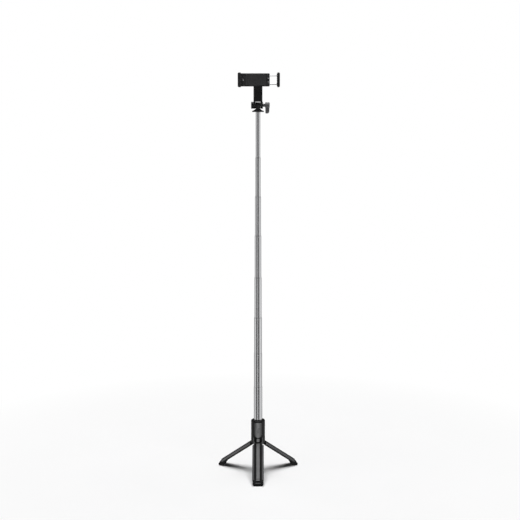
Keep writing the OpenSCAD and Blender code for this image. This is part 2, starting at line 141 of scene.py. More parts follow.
# ------------------------------------------------------------------ materials
class NT:
    """Small helper for building node trees."""
    def __init__(self, name):
        self.m = bpy.data.materials.new(name)
        self.m.use_nodes = True
        self.t = self.m.node_tree
        self.b = self.t.nodes["Principled BSDF"]
        self.tc = self.t.nodes.new("ShaderNodeTexCoord")

    def node(self, kind, **kw):
        n = self.t.nodes.new(kind)
        for k, v in kw.items():
            if hasattr(n, k):
                setattr(n, k, v)
            else:
                n.inputs[k].default_value = v
        return n

    def link(self, a, b):
        self.t.links.new(a, b)

    def mapping(self, scale):
        mp = self.node("ShaderNodeMapping")
        mp.inputs["Scale"].default_value = scale
        self.link(self.tc.outputs["Object"], mp.inputs["Vector"])
        return mp.outputs["Vector"]

    def scale(self, v, f):
        m = self.node("ShaderNodeMath", operation="MULTIPLY")
        self.link(v, m.inputs[0])
        m.inputs[1].default_value = f
        return m.outputs[0]

    def noise(self, scale, detail=3.0, rough=0.55, vec=None, dist=0.0):
        n = self.node("ShaderNodeTexNoise")
        n.inputs["Scale"].default_value = scale
        n.inputs["Detail"].default_value = detail
        n.inputs["Roughness"].default_value = rough
        n.inputs["Distortion"].default_value = dist
        self.link(vec if vec is not None else self.tc.outputs["Object"], n.inputs["Vector"])
        return n.outputs["Fac"]

    def ramp(self, fac, stops):
        r = self.node("ShaderNodeValToRGB")
        while len(r.color_ramp.elements) < len(stops):
            r.color_ramp.elements.new(0.5)
        for e, (p, c) in zip(r.color_ramp.elements, stops):
            e.position = p
            e.color = (c, c, c, 1) if isinstance(c, (int, float)) else (*c, 1)
        self.link(fac, r.inputs["Fac"])
        return r.outputs["Color"]

    def mix(self, fac, a, b, mode="MIX"):
        m = self.node("ShaderNodeMix")
        m.data_type, m.blend_type = "RGBA", mode
        for s, v in ((m.inputs[0], fac), (m.inputs[6], a), (m.inputs[7], b)):
            if hasattr(v, "links"):
                self.link(v, s)
            elif isinstance(v, (int, float)):
                s.default_value = v
            else:
                s.default_value = (*v, 1)
        return m.outputs[2]

    def bump(self, height, dist, strength=0.5):
        b = self.node("ShaderNodeBump")
        b.inputs["Strength"].default_value = strength
        b.inputs["Distance"].default_value = dist
        self.link(height, b.inputs["Height"])
        self.link(b.outputs[0], self.b.inputs["Normal"])

def plastic(name, base, rough=(0.36, 0.48), grain=2600.0, depth=0.00003, wear=0.5, spec=0.5, painted_highlight=None):
    """Moulded plastic: fine spark-eroded grain, slow tone drift, handled patches and rubbed edges."""
    k = NT(name)
    drift = k.noise(38, 3)
    hand = k.noise(120, 4, 0.6)
    lo = tuple(c * 0.82 for c in base)
    hi = tuple(min(1, c * 1.22 + 0.002) for c in base)
    col = k.mix(k.ramp(drift, [(0.32, 0.0), (0.68, 1.0)]), lo, hi)
    geo = k.node("ShaderNodeNewGeometry")
    edge = k.ramp(geo.outputs["Pointiness"], [(0.515, 0.0), (0.60, 1.0)])
    scuff = k.mix(1.0, edge, k.ramp(hand, [(0.42, 0.1), (0.62, wear)]), "MULTIPLY")
    col = k.mix(scuff, col, tuple(min(1, c * 2.1 + 0.03) for c in base))
    if painted_highlight:                             # painted highlight: a paler band down the middle, lightest at the centre line, stands in for a front light's reflection
        half, pale = painted_highlight
        sep = k.node("ShaderNodeSeparateXYZ")
        k.link(k.tc.outputs["Object"], sep.inputs[0])
        ab = k.node("ShaderNodeMath", operation="ABSOLUTE")
        k.link(sep.outputs[0], ab.inputs[0])
        band = k.ramp(k.scale(ab.outputs[0], 1.0 / half), [(0.0, 1.0), (0.3, 0.85), (0.65, 0.35), (1.0, 0.02)])
        band = k.mix(1.0, band, k.ramp(drift, [(0.3, 0.85), (0.7, 1.0)]), "MULTIPLY")
        col = k.mix(band, col, pale)
    k.link(col, k.b.inputs["Base Color"])
    r = k.ramp(hand, [(0.3, rough[0]), (0.7, rough[1])])
    k.link(r, k.b.inputs["Roughness"])
    k.b.inputs["Specular IOR Level"].default_value = spec
    k.bump(k.noise(grain, 2, 0.6), depth, 0.45)
    return k.m

def drawn_metal(name, base, rough=(0.16, 0.26), axis=2, tone=0.12, fine=5200.0):
    """Drawn and polished metal: fine die lines along one axis, faint smudges and rub marks."""
    k = NT(name)
    sc = [fine, fine, fine]
    sc[axis] = fine * 0.004
    lines = k.noise(1.0, 3, 0.65, k.mapping(sc))
    sc2 = [700.0] * 3
    sc2[axis] = 5.0
    bands = k.noise(1.0, 2, 0.5, k.mapping(sc2))
    smudge = k.noise(55, 4, 0.62)
    col = k.mix(k.ramp(lines, [(0.3, 0.0), (0.7, 1.0)]), tuple(c * (1 - tone) for c in base), tuple(min(1, c * (1 + tone)) for c in base))
    col = k.mix(k.ramp(bands, [(0.35, 0.0), (0.65, 0.35)]), col, tuple(c * 0.8 for c in base))
    k.link(col, k.b.inputs["Base Color"])
    r = k.mix(k.ramp(smudge, [(0.42, 0.0), (0.66, 1.0)]), (rough[0],) * 3, (rough[1],) * 3)
    r = k.mix(k.ramp(lines, [(0.2, 0.0), (0.8, 0.3)]), r, (rough[1] * 1.25,) * 3)
    k.link(r, k.b.inputs["Roughness"])
    k.b.inputs["Metallic"].default_value = 1.0
    k.bump(lines, 0.000004, 0.35)
    return k.m

def plated(name, base, rough=(0.22, 0.36)):
    k = NT(name)
    n = k.noise(420, 4, 0.6)
    s = k.noise(90, 3)
    col = k.mix(k.ramp(n, [(0.3, 0.0), (0.7, 1.0)]), tuple(c * 0.86 for c in base), base)
    k.link(col, k.b.inputs["Base Color"])
    k.link(k.ramp(s, [(0.3, rough[0]), (0.7, rough[1])]), k.b.inputs["Roughness"])
    k.b.inputs["Metallic"].default_value = 1.0
    k.bump(n, 0.00001, 0.3)
    return k.m

def rubber(name, base, rough=(0.62, 0.8), grain=1900.0, spec=0.35):
    """Soft rubber: matte, with a fine pebble and pale dust in its hollows."""
    k = NT(name)
    peb = k.node("ShaderNodeTexVoronoi")
    peb.inputs["Scale"].default_value = grain
    k.link(k.tc.outputs["Object"], peb.inputs["Vector"])
    dust = k.noise(150, 5, 0.65)
    geo = k.node("ShaderNodeNewGeometry")
    hollow = k.ramp(geo.outputs["Pointiness"], [(0.42, 1.0), (0.50, 0.25)])
    d = k.mix(1.0, hollow, k.ramp(dust, [(0.45, 0.0), (0.75, 0.5)]), "MULTIPLY")
    col = k.mix(d, base, tuple(c * 2.0 + 0.03 for c in base))
    k.link(col, k.b.inputs["Base Color"])
    k.link(k.ramp(dust, [(0.3, rough[0]), (0.7, rough[1])]), k.b.inputs["Roughness"])
    k.b.inputs["Specular IOR Level"].default_value = spec
    k.bump(peb.outputs["Distance"], 0.00004, 0.5)
    return k.m

def board(name):
    k = NT(name)
    br = k.node("ShaderNodeTexBrick")
    br.inputs["Scale"].default_value = 420.0
    br.inputs["Mortar Size"].default_value = 0.06
    br.inputs["Color1"].default_value = (0.015, 0.16, 0.07, 1)
    br.inputs["Color2"].default_value = (0.02, 0.2, 0.09, 1)
    br.inputs["Mortar"].default_value = (0.05, 0.32, 0.15, 1)
    k.link(k.mapping((1, 0, 1)), br.inputs["Vector"])
    k.link(br.outputs["Color"], k.b.inputs["Base Color"])
    k.link(k.ramp(k.noise(300, 3), [(0.3, 0.22), (0.7, 0.38)]), k.b.inputs["Roughness"])
    k.bump(br.outputs["Fac"], 0.00002, 0.5)
    return k.m

M = {
    "handle_plastic": plastic("handle_plastic", (0.005, 0.005, 0.0055), rough=(0.28, 0.38), wear=0.3, spec=0.15),
    # the next three are lit and shaded copies of the black plastic: a painted highlight for the legs' centre strips,
    # painted shade for grooves, painted light for the legs' side faces
    "trim_plastic": plastic("trim_plastic", (0.062, 0.062, 0.064), rough=(0.36, 0.46), wear=0.25, spec=0.3),
    "groove_painted_shade": plastic("groove_painted_shade", (0.0025, 0.0025, 0.0026), rough=(0.6, 0.75), wear=0.1, spec=0.15),
    "side_painted_light": plastic("side_painted_light", (0.09, 0.09, 0.092), wear=0.3, spec=0.3),
    "foot_rubber": rubber("foot_rubber", (0.0045, 0.0045, 0.0047), spec=0.2),
    "tube_steel": drawn_metal("tube_steel", (0.55, 0.55, 0.56)),
    "sleeve_steel": drawn_metal("sleeve_steel", (0.25, 0.25, 0.26), rough=(0.26, 0.38)),
    "band_brass": plated("band_brass", (0.72, 0.55, 0.28)),
    "hardware_steel": plated("hardware_steel", (0.6, 0.6, 0.61)),
    "head_plastic": plastic("head_plastic", (0.006, 0.006, 0.0065), rough=(0.3, 0.4), wear=0.35, spec=0.22),
    "knob_plastic": plastic("knob_plastic", (0.085, 0.085, 0.088), rough=(0.36, 0.46), wear=0.4),
    "clamp_plastic": plastic("clamp_plastic", (0.010, 0.010, 0.0108), rough=(0.3, 0.4), wear=0.4, spec=0.3),
    "pad_rubber": rubber("pad_rubber", (0.03, 0.03, 0.031), grain=1300.0),
    # the remote's panel: a painted highlight, a paler band down its middle
    "remote_plastic": plastic("remote_plastic", (0.03, 0.03, 0.031), rough=(0.3, 0.4), wear=0.3, painted_highlight=(0.0080, (0.30, 0.30, 0.303))),
    "button_plastic": plastic("button_plastic", (0.19, 0.19, 0.193), rough=(0.4, 0.5), wear=0.35),
    # painted light: a paler copy of the black plastic for the hinge bands
    "band_painted_light": plastic("band_painted_light", (0.07, 0.07, 0.072), wear=0.3, spec=0.3),
    # painted highlight: a pale copy of the plastic for the feet's strip ends and end-face bars
    "foot_painted_highlight": plastic("foot_painted_highlight", (0.14, 0.14, 0.143), rough=(0.4, 0.5), wear=0.3, spec=0.3),
    "washer_black": plastic("washer_black", (0.008, 0.008, 0.008), rough=(0.5, 0.62), wear=0.1, spec=0.15),
    "board_green": board("board_green"),
    "cell_metal": plated("cell_metal", (0.72, 0.72, 0.73)),
}
slot_of = {s["node"]: s["material_slot"] for s in frame["record"]["subparts"]}
for name, o in N.items():
    o.data.materials.clear()
    o.data.materials.append(M["washer_black"] if name == "tilt_washers" else M[slot_of[name]])

# ------------------------------------------------------------------ places taken from the frame
BODY = {n: b for b, ns in frame["record"]["behaviour"]["bodies"].items() for n in ns}
JOINT = {j["name"]: j for j in frame["joints"]}
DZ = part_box("collar_shell")[1].z / MM - 111.0           # the handle's own zero above the floor
TILT_Z = JOINT["head_tilt"]["pos_m"][2] / MM - DZ
SWIVEL_Z = JOINT["clamp_swivel"]["pos_m"][2] / MM - DZ
HINGE_R, HINGE_Z = 11.7, JOINT["leg_front_fold"]["pos_m"][2] / MM - DZ
LEG_OPEN = -JOINT["leg_front_fold"]["range_deg"][0]
COLLAR_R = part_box("collar_shell")[1].x / MM
GAP_L, GAP_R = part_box("fixed_jaw_pad")[1].x / MM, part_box("sliding_jaw_pad")[0].x / MM
UP = Matrix.Translation((0, 0, DZ))
S_MM = Matrix.Scale(MM, 4)

# ------------------------------------------------------------------ mesh helpers
def rad(d):
    return math.radians(d)

def add_object(name, bm, mats, body, smooth_deg=32.0, bevel=0.0, segs=2, bevel_deg=30.0, replaces=(), slot=None,
               matrix=None, clamp=True, fix=None):
    """Make an object from a bmesh, finish its edges, and let it ride on a body. matrix takes it to metres in the frame."""
    if matrix is not None:
        bmesh.ops.transform(bm, matrix=matrix, verts=bm.verts)
    bmesh.ops.recalc_face_normals(bm, faces=bm.faces)
    me = bpy.data.meshes.new(name)
    bm.to_mesh(me)
    bm.free()
    o = bpy.data.objects.new(name, me)
    scene.collection.objects.link(o)
    for m in (mats if isinstance(mats, (list, tuple)) else [mats]):
        me.materials.append(m)
    if fix:
        fix(o)
    if bevel:
        b = o.modifiers.new("edges", "BEVEL")
        b.width, b.segments, b.limit_method, b.angle_limit = bevel, segs, "ANGLE", math.radians(bevel_deg)
        b.use_clamp_overlap = clamp
        b.miter_outer = "MITER_ARC"
        bake_modifiers(o)
    me = o.data
    for p in me.polygons:
        p.use_smooth = True
    me.set_sharp_from_angle(angle=math.radians(smooth_deg))
    if smooth_deg < 50:                    # large flat faces keep their own normals, so they shade flat up to the rounded edges
        w = o.modifiers.new("normals", "WEIGHTED_NORMAL")
        w.mode, w.weight, w.keep_sharp = "FACE_AREA", 50, True
        bake_modifiers(o)
    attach(o, body)
    if replaces:
        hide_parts(*replaces)
    return o

def stand_for(node, bm, smooth_deg=32.0, mats=None, matrix=None, **kw):
    """Put a piece modelled in millimetres, from the handle's zero, in a CAD node's place."""
    return add_object(node + "_body", bm, mats or M[slot_of[node]], BODY[node], smooth_deg, replaces=(node,), slot=slot_of[node],
                      matrix=S_MM @ UP @ (matrix or Matrix.Identity(4)), **kw)

def bake_modifiers(o):
    dg = bpy.context.evaluated_depsgraph_get()
    new = bpy.data.meshes.new_from_object(o.evaluated_get(dg))
    old = o.data
    o.modifiers.clear()
    o.data = new
    new.name = o.name
    bpy.data.meshes.remove(old)

def temp_object(bm):
    bmesh.ops.recalc_face_normals(bm, faces=bm.faces)
    me = bpy.data.meshes.new("temp")
    bm.to_mesh(me)
    bm.free()
    o = bpy.data.objects.new("temp", me)
    scene.collection.objects.link(o)
    return o

def combine(bm, *steps):
    """Join or cut solids: steps are ("UNION" or "DIFFERENCE" or "INTERSECT", bmesh). Gives back a bmesh."""
    o = temp_object(bm)
    for op, other in steps:
        t = temp_object(other)
        m = o.modifiers.new("b", "BOOLEAN")
        m.object, m.operation, m.solver = t, op, "EXACT"
        bake_modifiers(o)
        me = t.data
        bpy.data.objects.remove(t)
        bpy.data.meshes.remove(me)
    out = bmesh.new()
    out.from_mesh(o.data)
    me = o.data
    bpy.data.objects.remove(o)
    bpy.data.meshes.remove(me)
    return out

def melt(bm, voxel, smooth_steps):
    """Blend a joined solid into one moulded skin with soft edges."""
    o = temp_object(bm)
    m = o.modifiers.new("skin", "REMESH")
    m.mode, m.voxel_size, m.adaptivity = "VOXEL", voxel, 0.0
    bake_modifiers(o)
    out = bmesh.new()
    out.from_mesh(o.data)
    for _ in range(smooth_steps):
        bmesh.ops.smooth_vert(out, verts=out.verts, factor=0.5, use_axis_x=True, use_axis_y=True, use_axis_z=True)
    me = o.data
    bpy.data.objects.remove(o)
    bpy.data.meshes.remove(me)
    return out

def loft(rings, closed=False, bm=None, caps=True):
    """Skin a row of rings of points. closed joins the last ring to the first; otherwise the ends are capped."""
    bm = bm or bmesh.new()
    vs = [[bm.verts.new(p) for p in r] for r in rings]
    n = len(rings[0])
    pairs = list(zip(vs, vs[1:])) + ([(vs[-1], vs[0])] if closed else [])
    for r0, r1 in pairs:
        for i in range(n):
            j = (i + 1) % n
            bm.faces.new((r0[i], r0[j], r1[j], r1[i]))
    if not closed and caps:
        bm.faces.new(vs[0])
        bm.faces.new(list(reversed(vs[-1])))
    return bm

def lathe(profile, seg=96, bm=None):
    """Turn a profile of (radius, height) round Z. A closed ring of points with no point on the axis, or an open one from axis to axis."""
    axis_ends = profile[0][0] < 1e-9 and profile[-1][0] < 1e-9
    bm = bm or bmesh.new()
    core = profile[1:-1] if axis_ends else profile
    rings = [[(r * math.cos(2 * math.pi * i / seg), r * math.sin(2 * math.pi * i / seg), z) for i in range(seg)] for r, z in core]
    if not axis_ends:
        return loft(rings, closed=True, bm=bm)
    vs = [[bm.verts.new(p) for p in r] for r in rings]
    for r0, r1 in zip(vs, vs[1:]):
        for i in range(seg):
            j = (i + 1) % seg
            bm.faces.new((r0[i], r0[j], r1[j], r1[i]))
    for ring, (r, z) in ((vs[0], profile[0]), (vs[-1], profile[-1])):
        c = bm.verts.new((0, 0, z))
        for i in range(seg):
            bm.faces.new((ring[i], ring[(i + 1) % seg], c))
    return bm

def fillet(pts, seg=5):
    """Round the corners of a polygon: each point is (x, y) or (x, y, radius)."""
    out = []
    n = len(pts)
    for i, p in enumerate(pts):
        r = p[2] if len(p) > 2 else 0
        P = Vector(p[:2])
        if not r:
            out.append(tuple(P))
            continue
        A, B = Vector(pts[i - 1][:2]) - P, Vector(pts[(i + 1) % n][:2]) - P
        la, lb = A.length, B.length
        A.normalize(), B.normalize()
        half = math.acos(max(-1, min(1, A.dot(B)))) / 2
        d = min(r / math.tan(half), la * 0.49, lb * 0.49)
        r = d * math.tan(half)
        C = P + (A + B).normalized() * (r / math.sin(half))
        a0 = P + A * d - C
        a1 = P + B * d - C
        t0, t1 = math.atan2(a0.y, a0.x), math.atan2(a1.y, a1.x)
        dt = (t1 - t0 + math.pi) % (2 * math.pi) - math.pi
        for k in range(seg + 1):
            t = t0 + dt * k / seg
            out.append((C.x + r * math.cos(t), C.y + r * math.sin(t)))
    return out

def inset(pts, d):
    """Move an anticlockwise outline inwards by d."""
    n = len(pts)
    out = []
    for i in range(n):
        a, p, b = Vector(pts[i - 1]), Vector(pts[i]), Vector(pts[(i + 1) % n])
        e0, e1 = (p - a), (b - p)
        if e0.length < 1e-9: e0 = e1
        if e1.length < 1e-9: e1 = e0
        e0.normalize(), e1.normalize()
        n0, n1 = Vector((-e0.y, e0.x)), Vector((-e1.y, e1.x))
        m = n0 + n1
        k = m.dot(n0)
        m = m * (d / k) if k > 0.3 else m.normalized() * d
        out.append((p.x + m.x, p.y + m.y))
    return out

def clean(pts, tol=1e-4):
    out = [p for i, p in enumerate(pts) if (Vector(p) - Vector(pts[i - 1])).length > tol]
    area2 = sum(out[i - 1][0] * out[i][1] - out[i][0] * out[i - 1][1] for i in range(len(out)))
    return out if area2 > 0 else out[::-1]

def prism(pts, z0, z1, r0=0.0, r1=0.0, seg=4, bm=None):
    """Extrude an outline from z0 to z1 with its end edges rounded by r0 and r1."""
    pts = clean(pts)
    rows = []
    for k in range(seg + 1) if r0 else [seg]:
        t = math.pi / 2 * k / seg
        rows.append((r0 * (1 - math.sin(t)), z0 + r0 * (1 - math.cos(t))))
    for k in range(seg + 1) if r1 else [0]:
        t = math.pi / 2 * k / seg
        rows.append((r1 * (1 - math.cos(t)), z1 - r1 * (1 - math.sin(t))))
    return loft([[(x, y, z) for x, y in inset(pts, d)] for d, z in rows], bm=bm)

def box_mm(lo, hi, r=0.0):
    return prism([(lo[0], lo[1], r), (hi[0], lo[1], r), (hi[0], hi[1], r), (lo[0], hi[1], r)] if not r else
                 fillet([(lo[0], lo[1], r), (hi[0], lo[1], r), (hi[0], hi[1], r), (lo[0], hi[1], r)]), lo[2], hi[2])

ALONG_Y = Matrix(((1, 0, 0, 0), (0, 0, -1, 0), (0, 1, 0, 0), (0, 0, 0, 1)))   # outline x,y -> x,z; its height w -> -Y
ALONG_X = Matrix(((0, 0, 1, 0), (1, 0, 0, 0), (0, 1, 0, 0), (0, 0, 0, 1)))    # outline x,y -> y,z; its height w -> +X

def turned(bm, matrix):
    bmesh.ops.transform(bm, matrix=matrix, verts=bm.verts)
    return bm

def along_y(pts, y0, y1, r_front=0.0, r_back=0.0, seg=4):
    """Outline in x and z, from the front face y0 (lower) to the back face y1."""
    return turned(prism(pts, -y1, -y0, r_back, r_front, seg), ALONG_Y)

def rod_x(r, x0, x1, y=0.0, z=0.0, seg=48, ch=0.0):
    prof = [(0, x0), (r - ch, x0), (r, x0 + ch), (r, x1 - ch), (r - ch, x1), (0, x1)] if ch else [(0, x0), (r, x0), (r, x1), (0, x1)]
    return turned(lathe(prof, seg), Matrix.Translation((0, y, z)) @ ALONG_X)

def rod_y(r, y0, y1, x=0.0, z=0.0, seg=48):
    return turned(lathe([(0, -y1), (r, -y1), (r, -y0), (0, -y0)], seg), Matrix.Translation((x, 0, z)) @ ALONG_Y)

def rrect_pts(x0, z0, w, h, r, r2=None, seg=6):
    """Rounded rectangle; r rounds the corners at x0 + w, r2 those at x0."""
    r2 = r if r2 is None else r2
    return fillet([(x0, z0, r2), (x0 + w, z0, r), (x0 + w, z0 + h, r), (x0, z0 + h, r2)], seg)

def cad_copy(node, merge=1e-6, flat=0.6):
    """A bmesh of a CAD node with its flat triangles joined into whole faces."""
    bm = bmesh.new()
    bm.from_mesh(N[node].data)
    bmesh.ops.remove_doubles(bm, verts=bm.verts, dist=merge)
    bmesh.ops.dissolve_limit(bm, angle_limit=math.radians(flat), verts=bm.verts, edges=bm.edges)
    return bm

def refine(node, width, segs=2, mats=None, deg=30.0, smooth=32.0, clamp=True):
    """Stand a rounded-edge version of a CAD node in its place."""
    return add_object(node + "_body", cad_copy(node), mats or M[slot_of[node]], BODY[node], smooth, width, segs, deg,
                      (node,), slot_of[node], clamp=clamp)

def screw(name_node, items, mats=None):
    """Domed screw heads with a cross recess and a shank. items are (matrix, head radius, head height, shank radius, length)."""
    out = bmesh.new()
    for mt, r, h, rs, ln in items:
        e = r * 0.16
        prof = [(0, 0.0), (r * 0.4, -h * 0.03), (r * 0.7, -h * 0.12), (r - e, -h * 0.3), (r - e * 0.3, -h * 0.42), (r, -h * 0.58), (r, -h + 0.06),
                (r - 0.06, -h), (rs, -h), (rs, -ln + rs * 0.5), (rs * 0.55, -ln), (0, -ln)]
        head = lathe(prof, 40)
        w, L = r * 0.13, r * 0.62
        cross = [(w, w), (L, w), (L, -w), (w, -w), (w, -L), (-w, -L), (-w, -w), (-L, -w), (-L, w), (-w, w), (-w, L), (w, L)][::-1]
        deep = [(x * 0.72, y * 0.72) for x, y in cross]
        cut = loft([[(x, y, -h * 0.72) for x, y in deep], [(x * 1.1, y * 1.1, 0.2) for x, y in cross]])
        bm = combine(head, ("DIFFERENCE", cut))
        bmesh.ops.transform(bm, matrix=mt, verts=bm.verts)
        me = bpy.data.meshes.new("t")
        bm.to_mesh(me)
        bm.free()
        out.from_mesh(me)
        bpy.data.meshes.remove(me)
    return stand_for(name_node, out, 35)

# ------------------------------------------------------------------ pole
TUBES = ["tube_%d" % i for i in range(1, 9)]
WALL = 0.25
def tube_profile(node, nxt):
    lo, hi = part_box(node)
    r, z0, z1 = hi.x / MM, lo.z / MM - DZ, hi.z / MM - DZ
    ri = r - WALL
    c = 0.07
    bottom = [(ri, z0 + c), (ri + c, z0), (r - c, z0), (r, z0 + c)]
    if nxt is None:
        return bottom + [(r, z1 - c), (r - c, z1), (ri + c, z1), (ri, z1 - c)]
    li = nxt + 0.06                       # lip's bore
    lo_ = li + WALL                       # lip's outer radius
    outer, inner = [], []
    for k in range(9):                    # the mouth is rolled in along a smooth S
        t = k / 8
        e = t * t * (3 - 2 * t)
        outer.append((r + (lo_ - r) * e, z1 - 2.4 + 1.0 * t))
        inner.append((ri + (li - ri) * e, z1 - 2.4 + 1.0 * t))
    # a fine bead just under the roll, then the lip with a rounded rim
    neck = [(r, z1 - 3.5), (r - 0.05, z1 - 3.35), (r - 0.05, z1 - 3.1), (r, z1 - 2.95)]
    rim = [(lo_, z1 - 0.25), (lo_ - 0.03, z1 - 0.1), (lo_ - 0.1, z1), (li + 0.1, z1), (li + 0.03, z1 - 0.1), (li, z1 - 0.25)]
    return bottom + neck + outer + rim + inner[::-1]
for i, n in enumerate(TUBES):
    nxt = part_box(TUBES[i + 1])[1].x / MM if i < 7 else None
    stand_for(n, lathe(tube_profile(n, nxt), 112), 30)

lo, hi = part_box("base_sleeve")
z0, z1, ro = lo.z / MM - DZ, hi.z / MM - DZ, hi.x / MM
ri, lip = ro - 0.3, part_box("tube_1")[1].x / MM + 0.06
stand_for("base_sleeve", lathe([(ri, z0 + 0.1), (ri + 0.1, z0), (ro - 0.1, z0), (ro, z0 + 0.1), (ro, z1 - 0.15), (ro - 0.12, z1), (lip + 0.12, z1),
                                (lip, z1 - 0.12), (lip, z1 - 1.2), (ri, z1 - 2.2)], 112), 30)
# end plug with a rounded edge and a dimple under it
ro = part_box("sleeve_end_plug")[1].x / MM
stand_for("sleeve_end_plug", lathe([(0, 3.1), (3.4, 3.1), (3.9, 2.85), (ro - 0.6, 2.8), (ro - 0.15, 2.95), (ro, 3.3), (ro, 3.9), (ro - 0.1, 4.0),
                                    (ro - 0.32, 4.0), (ro - 0.32, 5.8), (6.8, 5.8), (6.6, 5.6), (6.6, 4.7), (6.5, 4.6), (0, 4.6)], 72), 35)

# ------------------------------------------------------------------ collar, hinges
bm = cad_copy("collar_shell")
steps = []
for a in (270, 150, 30):                   # the legs' groove lines run on up the collar over each hinge
    for side in (-1, 1):
        c = side * 25.5
        outer, inner = [], []
        for k in range(7):
            t = rad(a + c - 6.2 + 12.4 * k / 6)
            outer.append((16.5 * math.cos(t), 16.5 * math.sin(t)))
            inner.append(((COLLAR_R - 0.75) * math.cos(t), (COLLAR_R - 0.75) * math.sin(t)))
        cut = prism(outer + inner[::-1], 60.0, 74.6)
        bmesh.ops.transform(cut, matrix=S_MM @ UP, verts=cut.verts)
        steps.append(("DIFFERENCE", cut))
bm = combine(bm, *steps)
def paint_collar_groove_shade(o):
    """Painted shade: the grooves' floors and flanks get a darker copy of the black plastic. The bands beside them,
    built below, get a paler copy as painted light, like the legs' sides.
    """
    for p in o.data.polygons:
        c = p.center / MM
        r, a = math.hypot(c.x, c.y), math.degrees(math.atan2(c.y, c.x))
        off = (a - 30 + 60) % 120 - 60
        z = c.z - DZ
        if z < 74.7 and COLLAR_R - 0.9 < r < COLLAR_R - 0.1 and 18.5 < abs(off) < 32.5:
            p.material_index = 1
add_object("collar_shell_body", bm, [M["handle_plastic"], M["groove_painted_shade"]], BODY["collar_shell"], 32, 0.00028, 2, 30,
           ("collar_shell",), "handle_plastic", fix=paint_collar_groove_shade)
refine("hinge_bracket", 0.0002)
pin = bmesh.new()
for a in (270, 150, 30):
    t = lathe([(0, -6.9), (0.8, -6.9), (1.0, -6.7), (1.0, 6.7), (0.8, 6.9), (0, 6.9)], 32)
    turned(t, Matrix.Rotation(rad(a), 4, "Z") @ Matrix.Translation((HINGE_R, 0, HINGE_Z)) @ Matrix.Rotation(rad(90), 4, "X"))
    me = bpy.data.meshes.new("t")
    t.to_mesh(me)
    t.free()
    pin.from_mesh(me)
    bpy.data.meshes.remove(me)
stand_for("leg_hinge_pins", pin, 30)
# a raised rib over the front hinge, between the remote and the leg's root
ribs = bmesh.new()
for a in (270,):
    rings = []
    for z, g in ((66.2, 0.5), (66.35, 0.15), (66.7, 0), (72.3, 0), (72.9, 0.15), (73.2, 0.5)):
        ring = []
        for ang, r in [(-11.5, 14.2), (-11.5, 14.75), (-10.6, 15.0), (-6, 15.05), (0, 15.05), (6, 15.05), (10.6, 15.0), (11.5, 14.75), (11.5, 14.2), (6, 14.2), (0, 14.2), (-6, 14.2)]:
            rr = r - g if r > 14.5 else r
            t = rad(a + ang * (1 - g * 0.12))
            ring.append((rr * math.cos(t), rr * math.sin(t), z))
        rings.append(ring)
    loft(rings, bm=ribs)
bands = bmesh.new()
for a in (270, 150, 30):                   # low bands outside the groove lines, in a paler copy of the black plastic: painted light
    for c in (a - 39.5, a + 39.5):
        rings = []
        for z, g in ((62.5, 0.3), (62.75, 0), (74.3, 0), (74.7, 0.3)):
            ring = []
            for ang, r in [(-5.0, 14.2), (-5.0, 14.6), (-4.2, 14.84), (0, 14.86), (4.2, 14.84), (5.0, 14.6), (5.0, 14.2), (0, 14.2)]:
                rr = r - g if r > 14.5 else r
                t = rad(c + ang)
                ring.append((rr * math.cos(t), rr * math.sin(t), z))
            rings.append(ring)
        loft(rings, bm=bands)
add_object("hinge_bands", bands, M["band_painted_light"], "base", 40, slot="handle_plastic", matrix=S_MM @ UP)
# the rib takes the remote's plastic, so its middle carries the same painted highlight
add_object("hinge_rib", ribs, M["remote_plastic"], "base", 40, slot="handle_plastic", matrix=S_MM @ UP)

# ------------------------------------------------------------------ legs and feet
def leg_outline(R, ri, half, depth, edge=0.5, lip=0.32):
    """Cross-section of a leg: a thick arc with two grooves beside its centre strip."""
    def P(r, a, k=0.0):
        t = rad(a)
        return (r * math.cos(t), r * math.sin(t), k) if k else (r * math.cos(t), r * math.sin(t))
    def arc(r, a0, a1, n):
        return [P(r, a0 + (a1 - a0) * k / n) for k in range(1, n)]
    def G(c, y, x, k):
        t = rad(c)
        return (x * math.cos(t) - y * math.sin(t), x * math.sin(t) + y * math.cos(t), k)
    hw = 1.7
    da = math.degrees(math.asin(hw / R))
    xe = math.sqrt(R * R - hw * hw)
    pts = [P(R, -half, edge)] + arc(R, -half, -22.2 - da, 10)
    pts += [G(-22.2, -hw, xe, lip), G(-22.2, -hw, R - depth, 0.3), G(-22.2, hw, R - depth, 0.3), G(-22.2, hw, xe, lip)]
    pts += arc(R, -22.2 + da, 22.2 - da, 10)
    pts += [G(22.2, -hw, xe, lip), G(22.2, -hw, R - depth, 0.3), G(22.2, hw, R - depth, 0.3), G(22.2, hw, xe, lip)]
    pts += arc(R, 22.2 + da, half, 10) + [P(R, half, edge), P(ri, half, 0.4)] + arc(ri, half, -half, 18) + [P(ri, -half, 0.4)]
    return fillet(pts, 4)

LEG_LEN = 13 + (HINGE_Z - (HINGE_R - 9.95 * math.cos(rad(56))) * math.sin(rad(LEG_OPEN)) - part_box("leg_front")[0].z / MM + DZ) / math.cos(rad(LEG_OPEN))
def leg_matrix(a):
    return Matrix.Rotation(rad(a), 4, "Z") @ Matrix.Translation((HINGE_R, 0, HINGE_Z)) @ Matrix.Rotation(rad(-LEG_OPEN), 4, "Y") @ Matrix.Translation((-HINGE_R, 0, 0))

